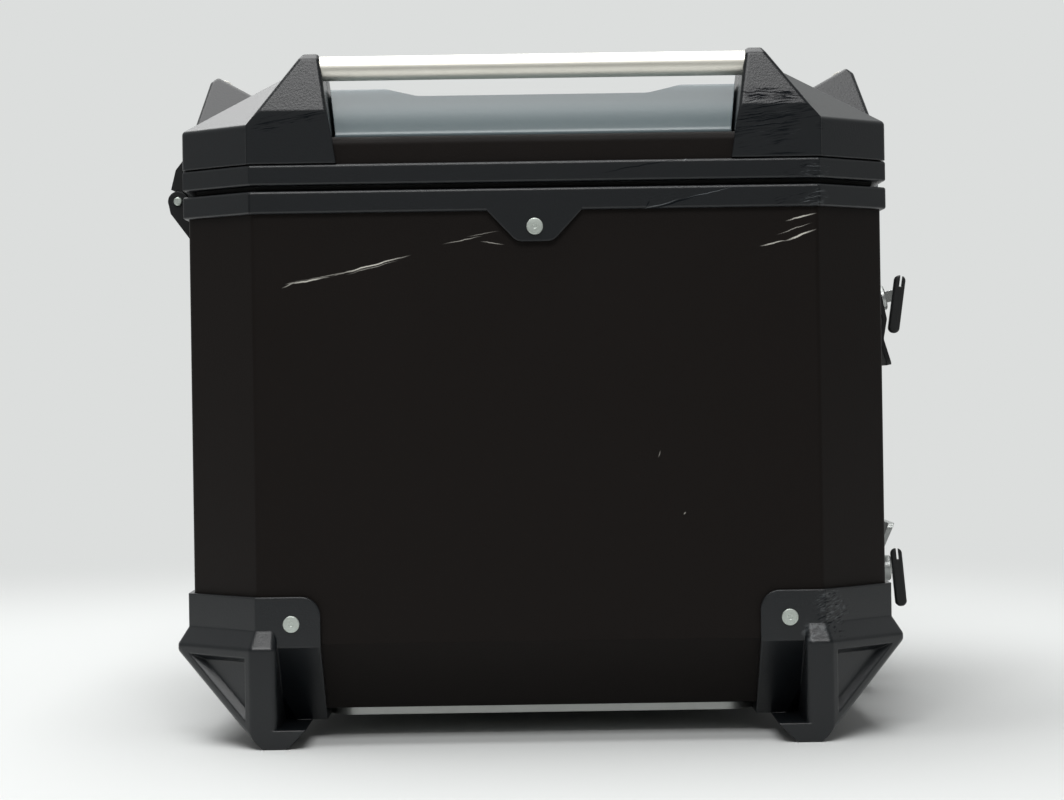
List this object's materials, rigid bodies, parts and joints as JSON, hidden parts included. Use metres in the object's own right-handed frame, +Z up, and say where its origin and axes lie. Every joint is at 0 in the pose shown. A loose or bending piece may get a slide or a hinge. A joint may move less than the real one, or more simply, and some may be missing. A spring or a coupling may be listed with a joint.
{
  "type": "motorcycle top case",
  "caption": "Metal top case for a motorcycle with riveted corner guards, a hinged lid with moulded corner caps and tie-down rails, and two keyed locks.",
  "frame": {"origin": "centre of the whole box in plan, on the ground plane under the four corner guards' feet", "axes": "+X towards the rear of the motorcycle, the side with the latch and the locks; +Y towards its right side, along the case's longest way; +Z up, the way the lid opens"},
  "size_m": [0.3778, 0.4354, 0.3199],
  "materials": {
    "shell_coat": "sheet in a fine textured black powder coat",
    "black_steel": "black electro-coat",
    "moulded_plastic": "satin, fine grained",
    "cover_paint": "sheet in smooth satin black paint",
    "seal_rubber": "matt",
    "rail_aluminium": "satin",
    "base_aluminium": "milled",
    "rivet_aluminium": "plain, matt",
    "zinc_steel": "zinc plated",
    "lever_aluminium": "satin, cast",
    "lock_chrome": "polished",
    "housing_plastic": "fine grained",
    "key_steel": "nickel plated"
  },
  "bodies": {
    "case": {"body_shell": "shell_coat", "body_rim": "moulded_plastic", "body_rim_corners": "moulded_plastic", "rim_rivets": "rivet_aluminium", "protector_front_left": "moulded_plastic", "protector_front_right": "moulded_plastic", "protector_rear_left": "moulded_plastic", "protector_rear_right": "moulded_plastic", "protector_rivets": "rivet_aluminium", "base_plate": "base_aluminium", "base_plate_rivets": "rivet_aluminium", "rack_hooks": "zinc_steel", "hinge_body_bracket": "black_steel", "hinge_pin": "rivet_aluminium", "hinge_body_screws": "zinc_steel", "latch_base": "black_steel", "latch_base_rivets": "rivet_aluminium", "latch_pivot_pin": "zinc_steel", "release_housing": "housing_plastic", "release_housing_rivets": "rivet_aluminium", "release_pivot_pins": "zinc_steel"},
    "lid": {"lid_pan": "shell_coat", "lid_rim": "moulded_plastic", "lid_seal": "seal_rubber", "lid_cover": "cover_paint", "cap_front_left": "moulded_plastic", "cap_front_right": "moulded_plastic", "cap_rear_left": "moulded_plastic", "cap_rear_right": "moulded_plastic", "rail_left": "rail_aluminium", "rail_right": "rail_aluminium", "rail_front": "rail_aluminium", "rail_rear": "rail_aluminium", "cap_screws": "zinc_steel", "hinge_lid_bracket": "black_steel", "hinge_lid_screws": "zinc_steel", "latch_striker": "zinc_steel", "striker_screws": "zinc_steel"},
    "latch_lever": {"latch_lever": "black_steel", "latch_collar": "lever_aluminium", "latch_claw_pin": "zinc_steel"},
    "latch_claw": {"latch_claw": "zinc_steel"},
    "latch_lock": {"latch_barrel": "lock_chrome", "latch_cam": "zinc_steel"},
    "latch_key": {"latch_key": "key_steel", "latch_key_bow": "housing_plastic"},
    "release_lever": {"release_lever": "lever_aluminium", "release_collar": "lever_aluminium"},
    "release_lock": {"release_barrel": "lock_chrome", "release_cam": "zinc_steel"},
    "release_key": {"release_key": "key_steel", "release_key_bow": "housing_plastic"},
    "release_bolt": {"release_bolt": "zinc_steel"}
  },
  "joints": [
    {"name": "lid_hinge", "type": "hinge", "parent": "case", "child": "lid", "pos_m": [-0.1839, 0, 0.258], "axis": [0, -1, 0], "range_deg": [0, 95]},
    {"name": "latch_swing", "type": "hinge", "parent": "case", "child": "latch_lever", "pos_m": [0.1627, 0, 0.231], "axis": [0, -1, 0], "range_deg": [-12, 50]},
    {"name": "claw_swing", "type": "hinge", "parent": "latch_lever", "child": "latch_claw", "pos_m": [0.16908, 0, 0.22213], "axis": [0, -1, 0], "range_deg": [-70.5, 17]},
    {"name": "latch_lock_turn", "type": "hinge", "parent": "latch_lever", "child": "latch_lock", "pos_m": [0.1741, 0, 0.20817], "axis": [0.9781, 0, 0.2079], "range_deg": [0, 90]},
    {"name": "latch_key_draw", "type": "slide", "parent": "latch_lock", "child": "latch_key", "axis": [0.9781, 0, 0.2079], "range_m": [0, 0.025]},
    {"name": "release_swing", "type": "hinge", "parent": "case", "child": "release_lever", "pos_m": [0.1606, 0, 0.053], "axis": [0, 1, 0], "range_deg": [0, 45], "stiffness_Nm_per_rad": 0.05, "springref_deg": -20.05},
    {"name": "release_lock_turn", "type": "hinge", "parent": "release_lever", "child": "release_lock", "pos_m": [0.1726, 0, 0.0645], "axis": [-1, 0, 0], "range_deg": [0, 90]},
    {"name": "release_key_draw", "type": "slide", "parent": "release_lock", "child": "release_key", "axis": [1, 0, 0], "range_m": [0, 0.025]},
    {"name": "release_bolt_slide", "type": "slide", "parent": "case", "child": "release_bolt", "axis": [0, 0, 1], "range_m": [0, 0.0085]}
  ],
  "couplings": [
    {"joint": "claw_swing", "follows": "latch_swing", "ratio": -1.4},
    {"joint": "release_bolt_slide", "follows": "release_swing", "m_per_rad": 0.01019}
  ]
}
